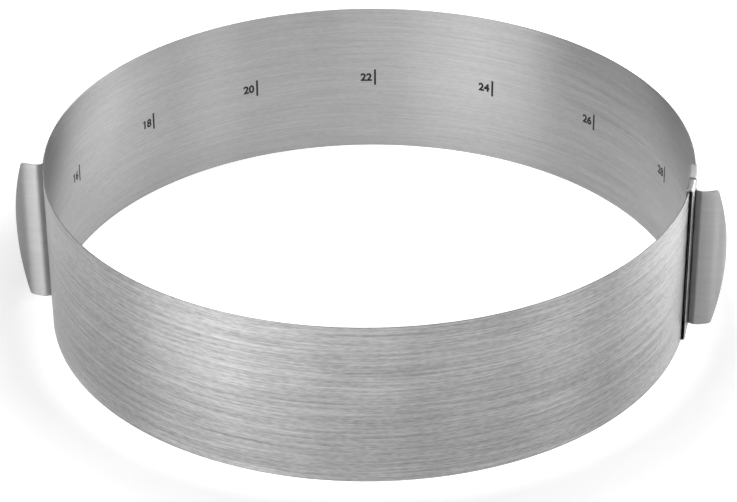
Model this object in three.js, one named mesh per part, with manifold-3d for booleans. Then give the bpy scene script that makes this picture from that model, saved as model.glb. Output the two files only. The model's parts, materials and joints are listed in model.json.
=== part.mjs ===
// Adjustable cake ring: a strip of spring steel rolled to a ring whose inner end slides through a guide.
// Millimetres, +Z up. The origin lies on the ring's axis at table level, with +X towards the guide.
// The strip is drawn as short lengths hinged end to end, so that it can wind up to a smaller ring.
import * as THREE from 'three';
import { mergeVertices } from 'three/addons/utils/BufferGeometryUtils.js';
import Module from 'manifold-3d';

const wasm = await Module();
wasm.setup();

// Band
const BAND_RADIUS = 152.25; // middle of the strip at the widest setting, on average
const BAND_HEIGHT = 80;
const BAND_SHEET = 0.5;
const BAND_OVERLAP = 6.8; // how far the inner end lies past the outer end at the widest setting
const BAND_WIND = 0.92; // how much the radius falls from the outer end to the inner end
const LENGTH_COUNT = 46;
const LENGTH_GAP = 0.3; // between two neighbouring lengths
const OUTER_END_DEG = -13.6; // where the strip's outer end stands, seen from above

// Guide channel, folded over both edges of the strip at its outer end
const CHANNEL_SHEET = 0.4;
const CHANNEL_LENGTH = 11.4; // along the strip
const CHANNEL_OVERHANG = 3.2; // past the strip's outer end

// Clip handle, beside the channel, and the plain handle opposite
const HANDLE_SHEET = 0.6;
const CLIP_LENGTH = 13; // along the strip
const CLIP_SPACING = 0.8; // between the channel and the clip
const FLANGE_LENGTH = 10; // of the opposite handle, along the strip
const OPPOSITE_AFTER_COUNT = 24; // lengths of strip before the one that carries the opposite handle
const OPPOSITE_AHEAD = 0.4; // its root, ahead of the middle of that length

// What the channel and the clip share
const SEAT_GAP = 0.2; // between the strip's outer face and what is welded to it
const EDGE_ROOM = 0.2; // above and below the strip's edges
const SLIDE_ROOM = 2.5; // clear width inside the fold, for the outer end and the sliding inner end
const LIP_LENGTH = 3.5;
const FOLD_RADIUS = 0.5; // inside the bend

// Grip, seen from above: it leaves the root forwards, bows and sweeps back towards its free edge
const GRIP_HEIGHT = 72.6;
const GRIP_DROP = 1.2; // its middle, below the strip's
const GRIP_REACH_MID = 16; // from the flange to the free edge at mid height
const GRIP_REACH_END = 11.3; // the same at its top and bottom
const GRIP_BOW = 2; // forwards of the root
const GRIP_BOW_AT = 4.5; // how far out it stands furthest forwards
const GRIP_CROSS_AT = 9; // how far out it passes back behind the root
const GRIP_SWEEP = 6; // back of the root, at the free edge
const GRIP_ROOT_BEND = 0.9;
const GRIP_CORNER = 1.5;

// Smoothness
const LENGTH_STEPS = 4;
const CLIP_STEPS = 5;
const FOLD_SEGMENTS = 3;
const GRIP_SEGMENTS = 26;
const OUTLINE_SEGMENTS = 14;
const SAME_POINT = 1e-4; // points closer than this are one
const CUT_MARGIN = 1; // how far a cutting shape reaches past what it cuts

const bandBottom = HANDLE_SHEET + EDGE_ROOM;
const bandTop = bandBottom + BAND_HEIGHT;
const gripMiddle = bandBottom + BAND_HEIGHT / 2 - GRIP_DROP;
const gripBottom = gripMiddle - GRIP_HEIGHT / 2;
const gripTop = gripMiddle + GRIP_HEIGHT / 2;
const pitch = (2 * Math.PI * BAND_RADIUS + BAND_OVERLAP) / LENGTH_COUNT;

function steel(colour, roughness) {
  return new THREE.MeshStandardMaterial({ color: colour, roughness, metalness: 1 });
}

function toSolid(geometry) {
  const bare = geometry.clone();
  bare.deleteAttribute('normal');
  bare.deleteAttribute('uv');
  const merged = mergeVertices(bare, SAME_POINT);
  const mesh = new wasm.Mesh({
    numProp: 3,
    vertProperties: new Float32Array(merged.attributes.position.array),
    triVerts: new Uint32Array(merged.index.array),
  });
  return new wasm.Manifold(mesh);
}

function toGeometry(solid) {
  const { vertProperties, triVerts } = solid.getMesh();
  const geometry = new THREE.BufferGeometry();
  geometry.setAttribute('position', new THREE.BufferAttribute(vertProperties, 3));
  geometry.setIndex(new THREE.BufferAttribute(triVerts, 1));
  geometry.computeVertexNormals();
  return geometry;
}

// A radial section (x = radius, y = height) carried round the axis from one angle to another.
function sweepSection(shape, fromAngle, toAngle, steps) {
  const geometry = new THREE.ExtrudeGeometry(shape, {
    depth: toAngle - fromAngle,
    steps,
    bevelEnabled: false,
    curveSegments: FOLD_SEGMENTS,
  });
  const position = geometry.attributes.position;
  for (let i = 0; i < position.count; i++) {
    const radius = position.getX(i);
    const angle = toAngle - position.getZ(i);
    position.setXYZ(i, radius * Math.cos(angle), radius * Math.sin(angle), position.getY(i));
  }
  return geometry;
}

// The closed outline of a sheet of one thickness bent along a middle line.
function sheetShape(middle, thickness) {
  const line = middle.filter((p, i) => i === 0 || p.distanceTo(middle[i - 1]) > SAME_POINT);
  const side = (sign) => line.map((point, i) => {
    const before = line[Math.max(i - 1, 0)];
    const after = line[Math.min(i + 1, line.length - 1)];
    const along = after.clone().sub(before).normalize();
    const across = new THREE.Vector2(-along.y, along.x);
    return point.clone().addScaledVector(across, sign * thickness / 2);
  });
  return new THREE.Shape([...side(1), ...side(-1).reverse()]);
}

function rectangle(x0, x1, y0, y1) {
  const corners = [[x0, y0], [x1, y0], [x1, y1], [x0, y1]];
  return new THREE.Shape(corners.map(([x, y]) => new THREE.Vector2(x, y)));
}

// The lengths of strip, from the outer end inwards: each is a little tighter than the one before.
function layOutStrip() {
  const lengths = [];
  const outerRadius = BAND_RADIUS + BAND_WIND / 2;
  let centre = new THREE.Vector2(0, 0);
  let angle = THREE.MathUtils.degToRad(OUTER_END_DEG);
  for (let i = 0; i < LENGTH_COUNT; i++) {
    const radius = outerRadius - (BAND_WIND * i) / (LENGTH_COUNT - 1);
    if (i > 0) {
      const step = lengths[i - 1].radius - radius;
      centre = centre.clone().add(new THREE.Vector2(Math.cos(angle), Math.sin(angle)).multiplyScalar(step));
    }
    const turn = pitch / radius;
    lengths.push({ centre, radius, from: angle, to: angle + turn });
    angle += turn;
  }
  return lengths;
}

function bandLength({ radius, from, to }) {
  const halfGap = LENGTH_GAP / 2 / radius;
  const section = rectangle(radius - BAND_SHEET / 2, radius + BAND_SHEET / 2, bandBottom, bandTop);
  return sweepSection(section, from + halfGap, to - halfGap, LENGTH_STEPS);
}

// A C-section round both layers of the strip: a plate outside, folded over each edge to a lip inside.
function foldedShape(outerFace, sheet) {
  const plate = outerFace + SEAT_GAP + sheet / 2;
  const lip = outerFace + SEAT_GAP - SLIDE_ROOM - sheet / 2;
  const top = bandTop + EDGE_ROOM + sheet / 2;
  const bottom = bandBottom - EDGE_ROOM - sheet / 2;
  const bend = FOLD_RADIUS + sheet / 2;
  const quarter = Math.PI / 2;
  const path = new THREE.Path();
  path.moveTo(lip, top - LIP_LENGTH);
  path.lineTo(lip, top - bend);
  path.absarc(lip + bend, top - bend, bend, 2 * quarter, quarter, true);
  path.absarc(plate - bend, top - bend, bend, quarter, 0, true);
  path.lineTo(plate, bottom + bend);
  path.absarc(plate - bend, bottom + bend, bend, 0, -quarter, true);
  path.absarc(lip + bend, bottom + bend, bend, -quarter, -2 * quarter, true);
  path.lineTo(lip, bottom + LIP_LENGTH);
  return sheetShape(path.getPoints(FOLD_SEGMENTS), sheet);
}

// The grip about an upright root line at a radius and an angle; side is +1 where the flange runs to larger angles.
function gripSolid(radius, angle, side) {
  const flangeLap = 2 * GRIP_ROOT_BEND;
  const freeEdge = GRIP_REACH_MID + GRIP_CORNER;
  const knots = [
    [0, flangeLap],
    [0, GRIP_ROOT_BEND],
    [GRIP_ROOT_BEND, -GRIP_BOW / 2],
    [GRIP_BOW_AT, -GRIP_BOW],
    [GRIP_CROSS_AT, 0],
    [freeEdge, GRIP_SWEEP],
  ].map(([out, back]) => new THREE.Vector2(out, back * side));
  const middle = new THREE.SplineCurve(knots).getPoints(GRIP_SEGMENTS);
  const sheet = new THREE.ExtrudeGeometry(sheetShape(middle, HANDLE_SHEET), {
    depth: GRIP_HEIGHT,
    bevelEnabled: false,
  });
  sheet.translate(0, 0, gripBottom);
  const solid = toSolid(sheet).intersect(toSolid(gripOutline()));
  const placed = toGeometry(solid);
  placed.translate(radius, 0, 0);
  placed.rotateZ(angle);
  return toSolid(placed);
}

// The grip's outline seen square to it: straight top and bottom, and a free edge that bulges at mid height.
function gripOutline() {
  const behind = -HANDLE_SHEET - CUT_MARGIN;
  const cornerFrom = GRIP_REACH_END - GRIP_CORNER;
  const bulge = 2 * GRIP_REACH_MID - GRIP_REACH_END; // the curve's handle, twice as far out as its middle
  const shape = new THREE.Shape();
  shape.moveTo(behind, gripBottom - CUT_MARGIN);
  shape.lineTo(cornerFrom, gripBottom - CUT_MARGIN);
  shape.lineTo(cornerFrom, gripBottom);
  shape.quadraticCurveTo(GRIP_REACH_END, gripBottom, GRIP_REACH_END, gripBottom + GRIP_CORNER);
  shape.quadraticCurveTo(bulge, gripMiddle, GRIP_REACH_END, gripTop - GRIP_CORNER);
  shape.quadraticCurveTo(GRIP_REACH_END, gripTop, cornerFrom, gripTop);
  shape.lineTo(cornerFrom, gripTop + CUT_MARGIN);
  shape.lineTo(behind, gripTop + CUT_MARGIN);
  const depth = 2 * (GRIP_BOW + GRIP_SWEEP + CUT_MARGIN);
  const prism = new THREE.ExtrudeGeometry(shape, { depth, bevelEnabled: false, curveSegments: OUTLINE_SEGMENTS });
  prism.rotateX(Math.PI / 2);
  prism.translate(0, depth / 2, 0);
  return prism;
}

function guideChannel(first) {
  const from = first.from - CHANNEL_OVERHANG / first.radius;
  const to = from + CHANNEL_LENGTH / first.radius;
  return sweepSection(foldedShape(first.radius + BAND_SHEET / 2, CHANNEL_SHEET), from, to, CLIP_STEPS);
}

function clipHandle(first) {
  const fromArc = CHANNEL_LENGTH - CHANNEL_OVERHANG + CLIP_SPACING;
  const from = first.from + fromArc / first.radius;
  const to = from + CLIP_LENGTH / first.radius;
  const outerFace = first.radius + BAND_SHEET / 2;
  const clip = sweepSection(foldedShape(outerFace, HANDLE_SHEET), from, to, CLIP_STEPS);
  const plate = outerFace + SEAT_GAP + HANDLE_SHEET / 2;
  return toGeometry(toSolid(clip).add(gripSolid(plate, from, 1)));
}

function oppositeHandle(carrier) {
  const inner = carrier.radius + BAND_SHEET / 2 + SEAT_GAP;
  const root = (carrier.from + carrier.to) / 2 + OPPOSITE_AHEAD / carrier.radius;
  const flange = rectangle(inner, inner + HANDLE_SHEET, gripBottom, gripTop);
  const plate = sweepSection(flange, root - FLANGE_LENGTH / carrier.radius, root, CLIP_STEPS);
  return toGeometry(toSolid(plate).add(gripSolid(inner + HANDLE_SHEET / 2, root, -1)));
}

const ring = new THREE.Group();

function addPiece(name, geometry, material, centre) {
  const mesh = new THREE.Mesh(geometry, material);
  mesh.name = name;
  mesh.position.set(centre.x, centre.y, 0);
  ring.add(mesh);
}

const bandSteel = steel(0xb4b5b6, 0.35);
const handleSteel = steel(0xa9aaab, 0.4);
const strip = layOutStrip();

strip.forEach((length, i) => {
  addPiece(`band_${String(i).padStart(2, '0')}`, bandLength(length), bandSteel, length.centre);
});
addPiece('guide_channel', guideChannel(strip[0]), bandSteel, strip[0].centre);
addPiece('clip_handle', clipHandle(strip[0]), handleSteel, strip[0].centre);
addPiece('opposite_handle', oppositeHandle(strip[OPPOSITE_AFTER_COUNT]), handleSteel, strip[OPPOSITE_AFTER_COUNT].centre);

export default ring;
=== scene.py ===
"""Adjustable cake ring: brushed steel strip, printed scale, folded guide and two grips, in metres."""
import json
import math

import bpy
from mathutils import Matrix, Vector


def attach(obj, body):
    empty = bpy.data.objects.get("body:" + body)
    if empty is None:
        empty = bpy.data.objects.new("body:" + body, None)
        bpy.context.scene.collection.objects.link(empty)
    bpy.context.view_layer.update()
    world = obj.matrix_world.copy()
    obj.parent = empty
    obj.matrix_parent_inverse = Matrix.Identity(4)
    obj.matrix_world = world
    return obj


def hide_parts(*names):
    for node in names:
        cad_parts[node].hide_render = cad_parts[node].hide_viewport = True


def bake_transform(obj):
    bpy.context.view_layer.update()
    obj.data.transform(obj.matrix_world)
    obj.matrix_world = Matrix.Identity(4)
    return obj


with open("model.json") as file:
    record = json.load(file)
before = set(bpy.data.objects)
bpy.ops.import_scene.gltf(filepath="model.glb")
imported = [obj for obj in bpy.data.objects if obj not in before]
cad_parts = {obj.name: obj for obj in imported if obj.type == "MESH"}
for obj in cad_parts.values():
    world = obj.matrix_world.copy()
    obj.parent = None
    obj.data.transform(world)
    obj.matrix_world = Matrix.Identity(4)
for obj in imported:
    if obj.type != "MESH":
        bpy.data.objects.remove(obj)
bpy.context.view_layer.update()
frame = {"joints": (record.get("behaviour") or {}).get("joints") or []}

MM = 0.001
MM_PER_CM = 10

# Strip: the same sizes as the solids
BAND_RADIUS = 152.25 * MM
BAND_HEIGHT = 80 * MM
BAND_SHEET = 0.5 * MM
BAND_OVERLAP = 6.8 * MM
BAND_WIND = 0.92 * MM
LENGTH_COUNT = len(frame["joints"]) + 1
OUTER_END = math.radians(-13.6)
STRIP_STEP = 0.75 * MM
STRIP_EDGE = 0.1 * MM
STRIP_END_GAP = 0.15 * MM

# Folded guide and clip
CHANNEL_SHEET = 0.4 * MM
CHANNEL_LENGTH = 11.4 * MM
CHANNEL_OVERHANG = 3.2 * MM
HANDLE_SHEET = 0.6 * MM
CLIP_LENGTH = 13 * MM
CLIP_SPACING = 0.8 * MM
SEAT_GAP = 0.2 * MM
EDGE_ROOM = 0.2 * MM
SLIDE_ROOM = 2.5 * MM
LIP_LENGTH = 3.5 * MM
FOLD_RADIUS = 0.5 * MM
FOLD_STEPS = 8
WALL_STEPS = 24
SWEEP_STEPS = 14

# Broken edges of the sheet-metal pieces
EDGE_BREAK = 0.12 * MM
EDGE_SEGMENTS = 2
EDGE_ANGLE = math.radians(60)

# Grips: distances out from the root, and how far the sheet bows to one side and turns back to the other
FLANGE_LENGTH = 10 * MM
FLANGE_ROWS = 24
OPPOSITE_AFTER = 24
OPPOSITE_AHEAD = 0.4 * MM
GRIP_HEIGHT = 72.6 * MM
GRIP_DROP = 1.2 * MM
GRIP_REACH_MID = 16 * MM
GRIP_REACH_END = 11.3 * MM
GRIP_BOW = 2 * MM
GRIP_BOW_AT = 4.5 * MM
GRIP_CROSS_AT = 10 * MM
GRIP_TURN_AT = 14 * MM
GRIP_TURN_BACK = 3 * MM
GRIP_SWEEP = 7 * MM
GRIP_ROOT_BEND = 0.9 * MM
GRIP_ROOT_AT = 0.5 * MM
GRIP_SHOULDER_AT = 1.6 * MM
GRIP_SHOULDER = 1.6 * MM
GRIP_CORNER = 1.5 * MM
GRIP_TRIM = 0.25 * MM
GRIP_ROWS = 40
GRIP_CORNER_ROWS = 6
GRIP_COLUMNS = 48
GRIP_KNOT_STEPS = 12

# Printed scale: the inner end of the strip stands at the mark of the ring's diameter
MARK_DIAMETERS_CM = range(16, 29, 2)
TICK_HEIGHT = 9 * MM
TICK_WIDTH = 1.05 * MM
TICK_RISE = 0.45 * MM
TICK_ROWS = 4
DIGIT_HEIGHT = 4.1 * MM
DIGIT_HEIGHT_PER_SIZE = 0.69
DIGIT_BOLD = 0.24 * MM
DIGIT_GAP = 1.05 * MM
DIGIT_CURVE_STEPS = 4
FLAG_REACH = 0.8 * MM
FLAG_DROP = 0.7 * MM
FLAG_STROKE = 0.7 * MM
INK_THICKNESS = 0.03 * MM
INK_CLEARANCE = 0.005 * MM

# Brushed grain: width, length and seed of each layer of streaks, and the layers' shares
STREAK_LINES = (0.8 * MM, 45 * MM, 1.3)
STREAK_SPECKLE = (0.7 * MM, 3.5 * MM, 3.7)
STREAK_BROAD = (2.5 * MM, 60 * MM, 7.1)
STREAK_INK = (0.4 * MM, 4 * MM, 5.9)
STREAK_DETAIL = 2.0
STREAK_SHIFT = 0.37
LINES_SHARE = 0.55
SPECKLE_SHARE = 0.45
FINE_SHARE = 0.8
BROAD_SHARE = 0.2
NOISE_LOW = 0.3
NOISE_HIGH = 0.7
ROUGHNESS_BELOW = 0.04
ROUGHNESS_ABOVE = 0.05
GRAIN_TURN = 0.25
GRAIN_DEPTH = 0.02 * MM

# Ink
INK_DARKEST = 0.006
INK_LIGHTEST = 0.016
INK_ROUGHNESS = 0.45
INK_SPECULAR = 0.22

# Floor and world
AMBIENT = 0.04
FLOOR_HALF = 6.0
FLOOR_GREY = 0.9
# The floor's lift holds painted light and shade: raised inside the ring as a pool of light, lowest just
# outside it as painted shade, which the steel walls mirror
FLOOR_LIFT_LIGHT_POOL_INSIDE = 0.6
FLOOR_LIFT_SHADE_NEAR = 0.3
FLOOR_LIFT_FAR = 0.75
FLOOR_NEAR = 0.19
FLOOR_FAR = 0.3
FLOOR_EDGE = 40 * MM

# Soft lamps: name, azimuth from +X in degrees, height, distance, size, power
LAMPS = (
    ("overhead", 90, 0.35, 0.06, (0.2, 0.2), 0.5),
    ("key_left", -145, 0.25, 0.65, (0.36, 0.2), 1.6),
    ("key_front", -120, 0.25, 0.65, (0.34, 0.2), 1.4),
    ("front", -90, 0.35, 1.2, (0.5, 0.5), 1.9),
    ("front_right", -60, 0.4, 1.2, (0.5, 0.5), 1.45),
    ("right_front", -30, 0.4, 1.0, (0.4, 0.4), 2.1),
    ("right", 10, 0.22, 0.6, (0.35, 0.2), 0.9),
    ("rim_right", 34, 0.25, 0.65, (0.4, 0.2), 2.0),
    ("back_left", 147, 0.6, 1.2, (0.8, 0.5), 1.2),
    ("rim_back", 110, 0.3, 0.7, (0.35, 0.2), 0.9),
    ("back", 90, 0.85, 1.4, (0.8, 0.5), 0.8),
)

# Photograph's camera
CAMERA_DISTANCE = 1364.7 * MM
CAMERA_ELEVATION = math.radians(31.126)
CAMERA_ROLL = math.radians(-0.441)
CAMERA_AIM = Vector((-0.305 * MM, 0, 26.29 * MM))
FOCAL_PIXELS = 2848.08
PHOTO_WIDTH = 737
SENSOR = 36.0

# Room for rounding when a place is looked up along a line
LENGTH_ROUNDING = 1e-12

BAND_BOTTOM = HANDLE_SHEET + EDGE_ROOM
BAND_TOP = BAND_BOTTOM + BAND_HEIGHT
BAND_MIDDLE = BAND_BOTTOM + BAND_HEIGHT / 2
GRIP_MIDDLE = BAND_MIDDLE - GRIP_DROP
GRIP_BOTTOM = GRIP_MIDDLE - GRIP_HEIGHT / 2
PITCH = (2 * math.pi * BAND_RADIUS + BAND_OVERLAP) / LENGTH_COUNT
STRIP_LENGTH = PITCH * LENGTH_COUNT


def body_name(index):
    return "guide_end" if index == 0 else f"strip_{index:02d}"


# Strip layout

class Strip:
    """The strip's middle line at rest: arcs joined end to end, each a little tighter than the one before."""

    def __init__(self):
        self.arcs = []
        centre = Vector((0, 0))
        angle = OUTER_END
        outer = BAND_RADIUS + BAND_WIND / 2
        for i in range(LENGTH_COUNT):
            radius = outer - BAND_WIND * i / (LENGTH_COUNT - 1)
            if i:
                step = self.arcs[-1][1] - radius
                centre = centre + step * Vector((math.cos(angle), math.sin(angle)))
            self.arcs.append((centre, radius, angle))
            angle += PITCH / radius

    def place(self, along):
        """The arc's centre and radius, and the angle of a point this far from the strip's outer end."""
        i = min(max(int(along / PITCH), 0), LENGTH_COUNT - 1)
        centre, radius, start = self.arcs[i]
        return centre, radius, start + (along - i * PITCH) / radius

    def point(self, along, out, z):
        centre, radius, angle = self.place(along)
        return Vector((
            centre.x + (radius + out) * math.cos(angle),
            centre.y + (radius + out) * math.sin(angle),
            z,
        ))

    def normal(self, along, out, up):
        angle = self.place(along)[2]
        return Vector((out * math.cos(angle), out * math.sin(angle), up)).normalized()


strip = Strip()


# Materials

class Nodes:
    """A short way to add and join shader nodes."""

    def __init__(self, tree):
        self.tree = tree
        tree.nodes.clear()

    def add(self, kind, **settings):
        node = self.tree.nodes.new(kind)
        for key, value in settings.items():
            setattr(node, key, value)
        return node

    def link(self, out, into):
        self.tree.links.new(out, into)

    def math(self, operation, a, b):
        node = self.add("ShaderNodeMath", operation=operation)
        for socket, value in zip(node.inputs, (a, b)):
            if isinstance(value, (int, float)):
                socket.default_value = value
            else:
                self.link(value, socket)
        return node.outputs[0]

    def mix(self, a, share_a, b, share_b):
        return self.math("ADD", self.math("MULTIPLY", a, share_a), self.math("MULTIPLY", b, share_b))

    def streaks(self, uv, across, length, seed):
        """Noise drawn out along the first UV axis: streaks of about this width and length, in metres."""
        mapping = self.add("ShaderNodeMapping")
        mapping.inputs["Location"].default_value = (seed, seed * STREAK_SHIFT, seed)
        mapping.inputs["Scale"].default_value = (1 / length, 1 / across, 1)
        self.link(uv, mapping.inputs["Vector"])
        noise = self.add("ShaderNodeTexNoise", noise_dimensions="3D")
        noise.inputs["Scale"].default_value = 1.0
        noise.inputs["Detail"].default_value = STREAK_DETAIL
        self.link(mapping.outputs["Vector"], noise.inputs["Vector"])
        return noise.outputs["Fac"]

    def ramp(self, value, low, high, to_low, to_high):
        node = self.add("ShaderNodeMapRange")
        for name, setting in zip(("From Min", "From Max", "To Min", "To Max"), (low, high, to_low, to_high)):
            node.inputs[name].default_value = setting
        self.link(value, node.inputs["Value"])
        return node.outputs["Result"]

    def grey(self, tone):
        colour = self.add("ShaderNodeCombineColor")
        for channel in ("Red", "Green", "Blue"):
            self.link(tone, colour.inputs[channel])
        return colour.outputs["Color"]

    def surface(self, shader):
        out = self.add("ShaderNodeOutputMaterial")
        self.link(shader, out.inputs["Surface"])


def new_material(name):
    material = bpy.data.materials.new(name)
    material.use_nodes = True
    return material, Nodes(material.node_tree)


def brushed_steel(name, level, contrast, roughness, anisotropy, relief):
    """Steel brushed along its first UV axis: fine and broad streaks in tone, gloss and relief."""
    material, n = new_material(name)
    uv = n.add("ShaderNodeUVMap", uv_map="UVMap").outputs["UV"]
    lines = n.streaks(uv, *STREAK_LINES)
    speckle = n.streaks(uv, *STREAK_SPECKLE)
    broad = n.streaks(uv, *STREAK_BROAD)
    fine = n.mix(lines, LINES_SHARE, speckle, SPECKLE_SHARE)
    mixed = n.mix(fine, FINE_SHARE, broad, BROAD_SHARE)
    tone = n.ramp(mixed, NOISE_LOW, NOISE_HIGH, level * (1 - contrast), level * (1 + contrast))
    gloss = n.ramp(broad, NOISE_LOW, NOISE_HIGH, roughness - ROUGHNESS_BELOW, roughness + ROUGHNESS_ABOVE)
    shader = n.add("ShaderNodeBsdfPrincipled")
    shader.inputs["Metallic"].default_value = 1.0
    shader.inputs["Anisotropic"].default_value = anisotropy
    shader.inputs["Anisotropic Rotation"].default_value = GRAIN_TURN
    n.link(n.grey(tone), shader.inputs["Base Color"])
    n.link(gloss, shader.inputs["Roughness"])
    tangent = n.add("ShaderNodeTangent", direction_type="UV_MAP", uv_map="UVMap")
    n.link(tangent.outputs["Tangent"], shader.inputs["Tangent"])
    bump = n.add("ShaderNodeBump")
    bump.inputs["Strength"].default_value = relief
    bump.inputs["Distance"].default_value = GRAIN_DEPTH
    n.link(fine, bump.inputs["Height"])
    n.link(bump.outputs["Normal"], shader.inputs["Normal"])
    n.surface(shader.outputs["BSDF"])
    return material


def black_ink():
    """Matt printing ink, a little uneven over the brushed ground."""
    material, n = new_material("printed_black")
    uv = n.add("ShaderNodeUVMap", uv_map="UVMap").outputs["UV"]
    patch = n.streaks(uv, *STREAK_INK)
    tone = n.ramp(patch, NOISE_LOW, NOISE_HIGH, INK_DARKEST, INK_LIGHTEST)
    shader = n.add("ShaderNodeBsdfPrincipled")
    n.link(n.grey(tone), shader.inputs["Base Color"])
    shader.inputs["Roughness"].default_value = INK_ROUGHNESS
    shader.inputs["Specular IOR Level"].default_value = INK_SPECULAR
    n.surface(shader.outputs["BSDF"])
    return material


BAND_STEEL = brushed_steel(
    "band_brushed_steel", level=0.355, contrast=0.42, roughness=0.38, anisotropy=0.9, relief=0.15,
)
BAND_STEEL_INSIDE = brushed_steel(
    "band_brushed_steel_inside", level=0.36, contrast=0.15, roughness=0.42, anisotropy=0.9, relief=0.1,
)
HANDLE_STEEL = brushed_steel(
    "handle_satin_steel", level=0.49, contrast=0.05, roughness=0.6, anisotropy=0.95, relief=0.02,
)
INK = black_ink()


# Meshes

def new_object(name, points, faces, uvs, material):
    """A mesh object with one UV pair for each corner of each face."""
    mesh = bpy.data.meshes.new(name)
    mesh.from_pydata(points, [], faces)
    layer = mesh.uv_layers.new(name="UVMap")
    for loop, pair in zip(layer.data, [pair for face in uvs for pair in face]):
        loop.uv = pair
    mesh.polygons.foreach_set("use_smooth", [True] * len(mesh.polygons))
    mesh.materials.append(material)
    thing = bpy.data.objects.new(name, mesh)
    bpy.context.scene.collection.objects.link(thing)
    return thing


def strip_section():
    """The strip's section, outwards and upwards: a flat bar with broken corners."""
    half = BAND_SHEET / 2
    return [
        (half, BAND_BOTTOM + STRIP_EDGE), (half, BAND_TOP - STRIP_EDGE),
        (half - STRIP_EDGE, BAND_TOP), (STRIP_EDGE - half, BAND_TOP),
        (-half, BAND_TOP - STRIP_EDGE), (-half, BAND_BOTTOM + STRIP_EDGE),
        (STRIP_EDGE - half, BAND_BOTTOM), (half - STRIP_EDGE, BAND_BOTTOM),
    ]


def strip_piece(name, start, end):
    """A stretch of the strip with exact normals, so that neighbours join without a seam."""
    section = strip_section()
    sides = len(section)
    steps = max(2, round((end - start) / STRIP_STEP))
    stations = [start + (end - start) * i / steps for i in range(steps + 1)]
    points = [strip.point(s, out, z) for s in stations for out, z in section]
    faces, uvs, normals, inside = [], [], [], []
    for k in range(sides):
        (out_a, z_a), (out_b, z_b) = section[k], section[(k + 1) % sides]
        facing = (z_b - z_a, out_a - out_b)
        shift = 0 if facing[0] > 0 else 1
        for i in range(steps):
            corners = [(i, k), (i + 1, k), (i + 1, (k + 1) % sides), (i, (k + 1) % sides)]
            faces.append([a * sides + b for a, b in corners])
            inside.append(shift)
            uvs.append([(stations[a], section[b][1] + shift) for a, b in corners])
            normals += [strip.normal(stations[a], *facing) for a, b in corners]
    for station, order, sign in ((0, range(sides - 1, -1, -1), -1), (steps, range(sides), 1)):
        faces.append([station * sides + k for k in order])
        uvs.append([(section[k][0], section[k][1]) for k in order])
        angle = strip.place(stations[station])[2] + math.pi / 2
        normals += [Vector((sign * math.cos(angle), sign * math.sin(angle), 0))] * sides
        inside.append(0)
    piece = new_object(name, points, faces, uvs, BAND_STEEL)
    piece.data.materials.append(BAND_STEEL_INSIDE)
    piece.data.polygons.foreach_set("material_index", inside)
    last_ring = steps * sides
    for edge in piece.data.edges:
        a, b = edge.vertices
        across = a // sides == b // sides
        edge.use_edge_sharp = not across or max(a, b) < sides or min(a, b) >= last_ring
    piece.data.normals_split_custom_set(normals)
    return piece


def middle_of(index):
    return (index + 0.5) * PITCH


def bend_between(piece):
    """Bakes the piece's place into its mesh."""
    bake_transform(piece)


def make_strip():
    first = strip_piece("strip_outer_end", STRIP_END_GAP, middle_of(0))
    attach(first, body_name(0))
    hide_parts("band_00")
    for i in range(LENGTH_COUNT - 1):
        piece = strip_piece(f"strip_stretch_{i + 1:02d}", middle_of(i), middle_of(i + 1))
        bend_between(piece)
        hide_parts(f"band_{i + 1:02d}")
    last = strip_piece("strip_inner_end", middle_of(LENGTH_COUNT - 1), STRIP_LENGTH - STRIP_END_GAP)
    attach(last, body_name(LENGTH_COUNT - 1))


# Printed scale

def wrap_flat(name, flat_mesh, tick_at):
    """A flat print, x to the right and y up as seen from inside the ring, laid on the strip's inner face."""
    face = -BAND_SHEET / 2
    points = []
    for lift in (0, INK_THICKNESS):
        for vertex in flat_mesh.vertices:
            along = tick_at - vertex.co.x
            height = BAND_MIDDLE + TICK_RISE + vertex.co.y
            points.append(strip.point(along, face - lift - INK_CLEARANCE, height))
    count = len(flat_mesh.vertices)
    faces = []
    for polygon in flat_mesh.polygons:
        ring = list(polygon.vertices)
        faces.append([v + count for v in ring])
        faces.append(ring[::-1])
    edge_use = {}
    for polygon in flat_mesh.polygons:
        ring = list(polygon.vertices)
        for a, b in zip(ring, ring[1:] + ring[:1]):
            edge_use.setdefault(frozenset((a, b)), []).append((a, b))
    for uses in edge_use.values():
        if len(uses) == 1:
            a, b = uses[0]
            faces.append([a, b, b + count, a + count])
    flat = [(v.co.x, v.co.y) for v in flat_mesh.vertices] * 2
    uvs = [[flat[v] for v in face] for face in faces]
    piece = new_object(name, points, faces, uvs, INK)
    piece.data.polygons.foreach_set("use_smooth", [False] * len(piece.data.polygons))
    return piece


def digits_mesh(text):
    """The number as a flat mesh, right-aligned at x = 0 and centred on y = 0."""
    curve = bpy.data.curves.new("number", "FONT")
    curve.body = text
    curve.size = DIGIT_HEIGHT / DIGIT_HEIGHT_PER_SIZE
    curve.offset = DIGIT_BOLD
    curve.resolution_u = DIGIT_CURVE_STEPS
    holder = bpy.data.objects.new("number", curve)
    bpy.context.scene.collection.objects.link(holder)
    bpy.context.view_layer.update()
    mesh = bpy.data.meshes.new_from_object(holder.evaluated_get(bpy.context.evaluated_depsgraph_get()))
    bpy.data.objects.remove(holder)
    bpy.data.curves.remove(curve)
    xs = [v.co.x for v in mesh.vertices]
    ys = [v.co.y for v in mesh.vertices]
    for v in mesh.vertices:
        v.co.x -= max(xs)
        v.co.y -= (max(ys) + min(ys)) / 2
    return mesh


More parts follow.
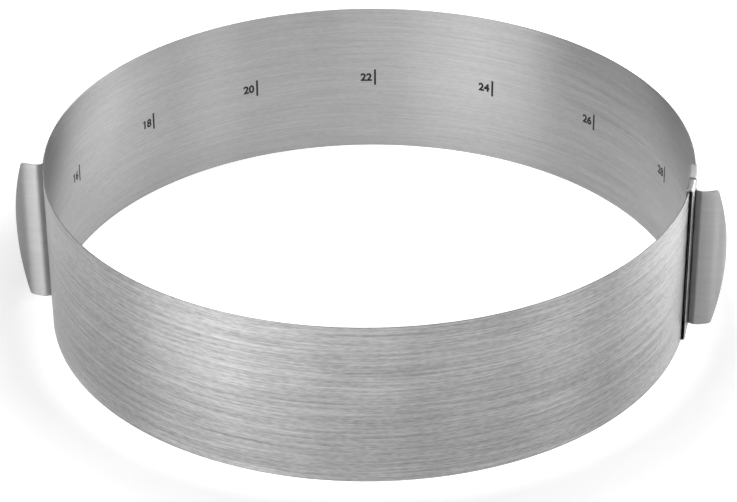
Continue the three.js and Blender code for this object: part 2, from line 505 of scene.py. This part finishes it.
def with_flag(mesh):
    """The number with a short slanted stroke at the head of its first figure, a 1."""
    left = min(v.co.x for v in mesh.vertices)
    top = max(v.co.y for v in mesh.vertices)
    flag = [
        (left, top - FLAG_STROKE, 0),
        (left, top, 0),
        (left - FLAG_REACH, top - FLAG_DROP, 0),
        (left - FLAG_REACH, top - FLAG_DROP - FLAG_STROKE, 0),
    ]
    points = [tuple(v.co) for v in mesh.vertices]
    faces = [list(p.vertices) for p in mesh.polygons]
    faces.append([len(points) + i for i in range(len(flag))])
    flagged = bpy.data.meshes.new("number")
    flagged.from_pydata(points + flag, [], faces)
    return flagged


def tick_mesh():
    mesh = bpy.data.meshes.new("tick")
    points = []
    for i in range(TICK_ROWS + 1):
        y = TICK_HEIGHT * (i / TICK_ROWS - 0.5)
        points += [(-TICK_WIDTH / 2, y, 0), (TICK_WIDTH / 2, y, 0)]
    faces = [[2 * i, 2 * i + 1, 2 * i + 3, 2 * i + 2] for i in range(TICK_ROWS)]
    mesh.from_pydata(points, [], faces)
    return mesh


def make_scale():
    for diameter in MARK_DIAMETERS_CM:
        text = str(diameter)
        tick_at = STRIP_LENGTH - math.pi * diameter * MM_PER_CM * MM
        tick = wrap_flat(f"scale_tick_{diameter}", tick_mesh(), tick_at)
        bend_between(tick)
        number = digits_mesh(text)
        if text.startswith("1"):
            number = with_flag(number)
        for v in number.vertices:
            v.co.x -= TICK_WIDTH / 2 + DIGIT_GAP
        label = wrap_flat(f"scale_number_{diameter}", number, tick_at)
        bend_between(label)


# Sheet-metal pieces

def sheet_piece(name, grid, thickness, material, grain_over=False):
    """A bent sheet over a grid of points, thickened on both sides, with softly broken edges.

    Its grain runs from row to row, or from column to column where grain_over is set.
    """
    rows, columns = len(grid), len(grid[0])
    points = [p for row in grid for p in row]
    faces, uvs = [], []
    up = [[0.0] * columns for _ in range(rows)]
    over = [[0.0] * columns for _ in range(rows)]
    for r in range(rows):
        for c in range(columns):
            if r:
                up[r][c] = up[r - 1][c] + (grid[r][c] - grid[r - 1][c]).length
            if c:
                over[r][c] = over[r][c - 1] + (grid[r][c] - grid[r][c - 1]).length
    for r in range(rows - 1):
        for c in range(columns - 1):
            corners = [(r, c), (r, c + 1), (r + 1, c + 1), (r + 1, c)]
            faces.append([a * columns + b for a, b in corners])
            pairs = [(up[a][b], over[a][b]) for a, b in corners]
            uvs.append([(v, u) for u, v in pairs] if grain_over else pairs)
    piece = new_object(name, points, faces, uvs, material)
    solid = piece.modifiers.new("sheet", "SOLIDIFY")
    solid.thickness = thickness
    solid.offset = 0
    solid.use_even_offset = True
    edge = piece.modifiers.new("edge", "BEVEL")
    edge.width = EDGE_BREAK
    edge.segments = EDGE_SEGMENTS
    edge.limit_method = "ANGLE"
    edge.angle_limit = EDGE_ANGLE
    return piece


def arc_points(centre, radius, start, end):
    angles = [start + (end - start) * i / FOLD_STEPS for i in range(FOLD_STEPS + 1)]
    return [(centre[0] + radius * math.cos(a), centre[1] + radius * math.sin(a)) for a in angles]


def folded_line(outer_face, sheet):
    """The middle line of the C-section, as (radius, height) pairs from the top lip to the bottom lip."""
    plate = outer_face + SEAT_GAP + sheet / 2
    lip = outer_face + SEAT_GAP - SLIDE_ROOM - sheet / 2
    top = BAND_TOP + EDGE_ROOM + sheet / 2
    bottom = BAND_BOTTOM - EDGE_ROOM - sheet / 2
    bend = FOLD_RADIUS + sheet / 2
    quarter = math.pi / 2
    line = [(lip, top - LIP_LENGTH)]
    line += arc_points((lip + bend, top - bend), bend, 2 * quarter, quarter)
    line += arc_points((plate - bend, top - bend), bend, quarter, 0)
    for i in range(1, WALL_STEPS):
        line.append((plate, top - bend + (bottom + 2 * bend - top) * i / WALL_STEPS))
    line += arc_points((plate - bend, bottom + bend), bend, 0, -quarter)
    line += arc_points((lip + bend, bottom + bend), bend, -quarter, -2 * quarter)
    line += [(lip, bottom + LIP_LENGTH)]
    return line


def swept_sheet(name, line, centre, start, end, thickness, material):
    """A sheet whose upright section is swept round the ring's axis from one angle to another."""
    grid = []
    for i in range(SWEEP_STEPS + 1):
        angle = start + (end - start) * i / SWEEP_STEPS
        grid.append([
            Vector((centre.x + r * math.cos(angle), centre.y + r * math.sin(angle), z)) for r, z in line
        ])
    return sheet_piece(name, grid, thickness, material)


def spline(knots, steps):
    """A Catmull-Rom curve through the knots."""
    padded = [knots[0]] + knots + [knots[-1]]
    out = []
    for i in range(len(knots) - 1):
        p0, p1, p2, p3 = (Vector(p) for p in padded[i:i + 4])
        for k in range(steps):
            t = k / steps
            out.append(0.5 * (2 * p1 + (p2 - p0) * t + (2 * p0 - 5 * p1 + 4 * p2 - p3) * t * t
                              + (3 * p1 - p0 - 3 * p2 + p3) * t ** 3))
    return out + [Vector(knots[-1])]


def grip_reach(z):
    """How far out the grip's free edge stands at a height."""
    from_end = GRIP_HEIGHT / 2 - abs(z - GRIP_MIDDLE)
    if from_end < GRIP_CORNER:
        short = GRIP_CORNER - from_end
        return GRIP_REACH_END - GRIP_CORNER + math.sqrt(max(GRIP_CORNER ** 2 - short ** 2, 0))
    half = GRIP_HEIGHT / 2 - GRIP_CORNER
    t = (z - GRIP_MIDDLE) / half
    return GRIP_REACH_MID + (GRIP_REACH_END - GRIP_REACH_MID) * t * t


def grip_heights():
    """The heights of the grip's rows, closer together round its corners."""
    top = GRIP_BOTTOM + GRIP_HEIGHT
    turns = [math.pi / 2 * i / GRIP_CORNER_ROWS for i in range(GRIP_CORNER_ROWS)]
    corner = [GRIP_CORNER * (1 - math.cos(turn)) for turn in turns]
    straight = GRIP_HEIGHT - 2 * GRIP_CORNER
    inner = [GRIP_CORNER + straight * i / GRIP_ROWS for i in range(GRIP_ROWS + 1)]
    return [GRIP_BOTTOM + h for h in corner + inner] + [top - h for h in reversed(corner)]


def grip_line(side):
    """The grip's section from its root outwards: a tight root, a bow, and a free edge that turns back."""
    knots = [
        (0, 2 * GRIP_ROOT_BEND),
        (0, GRIP_ROOT_BEND),
        (GRIP_ROOT_AT, -GRIP_ROOT_BEND),
        (GRIP_SHOULDER_AT, -GRIP_SHOULDER),
        (GRIP_BOW_AT, -GRIP_BOW),
        (GRIP_CROSS_AT, 0),
        (GRIP_TURN_AT, GRIP_TURN_BACK),
        (GRIP_REACH_MID + GRIP_CORNER, GRIP_SWEEP),
    ]
    return spline([(out, back * side) for out, back in knots], GRIP_KNOT_STEPS)


def cut_line(line, reach, count):
    """The part of a line short of a reach outwards, as evenly spaced points."""
    lengths = [0.0]
    for a, b in zip(line, line[1:]):
        lengths.append(lengths[-1] + (b - a).length)
    total = lengths[-1]
    for i in range(len(line) - 1, 0, -1):
        if line[i - 1].x <= reach <= line[i].x:
            share = (reach - line[i - 1].x) / (line[i].x - line[i - 1].x)
            total = lengths[i - 1] + share * (lengths[i] - lengths[i - 1])
            break
    points = []
    for k in range(count + 1):
        want = total * k / count
        i = next(j for j in range(1, len(lengths)) if lengths[j] >= want - LENGTH_ROUNDING)
        share = (want - lengths[i - 1]) / (lengths[i] - lengths[i - 1])
        points.append(line[i - 1].lerp(line[i], share))
    return points


def grip_grid(centre, radius, angle, side):
    turn = Matrix.Rotation(angle, 3, "Z")
    line = grip_line(side)
    grid = []
    for z in grip_heights():
        row = []
        for p in cut_line(line, grip_reach(z) - GRIP_TRIM, GRIP_COLUMNS):
            row.append(Vector((centre.x, centre.y, 0)) + turn @ Vector((radius + p.x, p.y, z)))
        grid.append(row)
    return grid


def make_guide():
    centre, radius, start = strip.arcs[0]
    outer_face = radius + BAND_SHEET / 2
    begin = start - CHANNEL_OVERHANG / radius
    channel = swept_sheet(
        "guide_channel_folded", folded_line(outer_face, CHANNEL_SHEET), centre,
        begin, begin + CHANNEL_LENGTH / radius, CHANNEL_SHEET, BAND_STEEL,
    )
    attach(channel, body_name(0))
    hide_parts("guide_channel")


def make_clip_handle():
    centre, radius, start = strip.arcs[0]
    outer_face = radius + BAND_SHEET / 2
    begin = start + (CHANNEL_LENGTH - CHANNEL_OVERHANG + CLIP_SPACING) / radius
    clip = swept_sheet(
        "clip_handle_fold", folded_line(outer_face, HANDLE_SHEET), centre,
        begin, begin + CLIP_LENGTH / radius, HANDLE_SHEET, HANDLE_STEEL,
    )
    plate = outer_face + SEAT_GAP + HANDLE_SHEET / 2
    grid = grip_grid(centre, plate, begin, 1)
    grip = sheet_piece("clip_handle_grip", grid, HANDLE_SHEET, HANDLE_STEEL, grain_over=True)
    for piece in (clip, grip):
        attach(piece, body_name(0))
    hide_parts("clip_handle")


def make_opposite_handle():
    centre, radius, start = strip.arcs[OPPOSITE_AFTER]
    inner = radius + BAND_SHEET / 2 + SEAT_GAP
    root = start + (PITCH / 2 + OPPOSITE_AHEAD) / radius
    middle = inner + HANDLE_SHEET / 2
    line = [(middle, GRIP_BOTTOM + GRIP_HEIGHT * i / FLANGE_ROWS) for i in range(FLANGE_ROWS + 1)]
    flange = swept_sheet(
        "opposite_handle_flange", line, centre,
        root - FLANGE_LENGTH / radius, root, HANDLE_SHEET, HANDLE_STEEL,
    )
    grid = grip_grid(centre, middle, root, -1)
    grip = sheet_piece("opposite_handle_grip", grid, HANDLE_SHEET, HANDLE_STEEL, grain_over=True)
    for piece in (flange, grip):
        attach(piece, body_name(OPPOSITE_AFTER))
    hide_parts("opposite_handle")


# Stage

def make_floor():
    half = FLOOR_HALF
    points = [(-half, -half, 0), (half, -half, 0), (half, half, 0), (-half, half, 0)]
    corners = [(0, 0), (1, 0), (1, 1), (0, 1)]
    floor = new_object("floor", points, [[0, 1, 2, 3]], [corners], floor_material())


def floor_material():
    """A matt white floor, lifted to white where the camera or the metal sees it; the lift is raised inside
    the ring as a painted pool of light and is least just outside the ring as painted shade.
    """
    material, n = new_material("pale_floor")
    matt = n.add("ShaderNodeBsdfDiffuse")
    matt.inputs["Color"].default_value = (FLOOR_GREY, FLOOR_GREY, FLOOR_GREY, 1)
    path = n.add("ShaderNodeLightPath").outputs
    direct = n.math("ADD", path["Is Camera Ray"], path["Is Glossy Ray"])
    seen = n.math("ADD", direct, path["Is Transmission Ray"])
    away = n.add("ShaderNodeVectorMath", operation="LENGTH")
    n.link(n.add("ShaderNodeNewGeometry").outputs["Position"], away.inputs[0])
    distance = away.outputs["Value"]
    # Painted pool of light inside the ring and painted shade just outside it, both seen in the walls'
    # reflections
    inner_edge = BAND_RADIUS - FLOOR_EDGE / 2
    inside = n.ramp(distance, inner_edge, inner_edge + FLOOR_EDGE, FLOOR_LIFT_LIGHT_POOL_INSIDE, 0)
    outside = n.ramp(distance, FLOOR_NEAR, FLOOR_FAR, FLOOR_LIFT_SHADE_NEAR, FLOOR_LIFT_FAR)
    lift = n.math("ADD", inside, outside)
    glow = n.add("ShaderNodeEmission")
    n.link(n.math("MULTIPLY", n.math("MINIMUM", seen, 1.0), lift), glow.inputs["Strength"])
    both = n.add("ShaderNodeAddShader")
    n.link(matt.outputs["BSDF"], both.inputs[0])
    n.link(glow.outputs["Emission"], both.inputs[1])
    n.surface(both.outputs["Shader"])
    return material


def make_world():
    world = bpy.data.worlds.new("studio")
    world.use_nodes = True
    bpy.context.scene.world = world
    n = Nodes(world.node_tree)
    shade = n.add("ShaderNodeBackground")
    shade.inputs["Color"].default_value = (1, 1, 1, 1)
    shade.inputs["Strength"].default_value = AMBIENT
    out = n.add("ShaderNodeOutputWorld")
    n.link(shade.outputs["Background"], out.inputs["Surface"])


def area_light(name, azimuth, height, distance, size, power):
    """A soft rectangular light at an azimuth, counted from +X, turned to the ring's middle."""
    lamp = bpy.data.lights.new(name, "AREA")
    lamp.shape = "RECTANGLE"
    lamp.size, lamp.size_y = size
    lamp.energy = power
    holder = bpy.data.objects.new(name, lamp)
    bpy.context.scene.collection.objects.link(holder)
    turn = math.radians(azimuth)
    holder.location = (distance * math.cos(turn), distance * math.sin(turn), height)
    way = holder.location - Vector((0, 0, BAND_MIDDLE))
    holder.rotation_mode = "QUATERNION"
    holder.rotation_quaternion = way.to_track_quat("Z", "Y")


def make_lights():
    for lamp in LAMPS:
        area_light(*lamp)


def make_camera():
    camera = bpy.data.cameras.new("photo_camera")
    camera.sensor_fit = "HORIZONTAL"
    camera.sensor_width = SENSOR
    camera.lens = SENSOR * FOCAL_PIXELS / PHOTO_WIDTH
    holder = bpy.data.objects.new("photo_camera", camera)
    bpy.context.scene.collection.objects.link(holder)
    back = Vector((0, -math.cos(CAMERA_ELEVATION), math.sin(CAMERA_ELEVATION)))
    right = Vector((1, 0, 0))
    up = back.cross(right)
    turned_right = right * math.cos(CAMERA_ROLL) + up * math.sin(CAMERA_ROLL)
    turned_up = up * math.cos(CAMERA_ROLL) - right * math.sin(CAMERA_ROLL)
    place = CAMERA_AIM + Vector((0, 0, BAND_BOTTOM)) + back * CAMERA_DISTANCE
    columns = Matrix((turned_right, turned_up, back)).transposed()
    holder.matrix_world = Matrix.Translation(place) @ columns.to_4x4()
    bpy.context.scene.camera = holder


make_strip()
make_scale()
make_guide()
make_clip_handle()
make_opposite_handle()
make_floor()
make_world()
make_lights()
make_camera()
bpy.context.scene.view_settings.view_transform = "Standard"
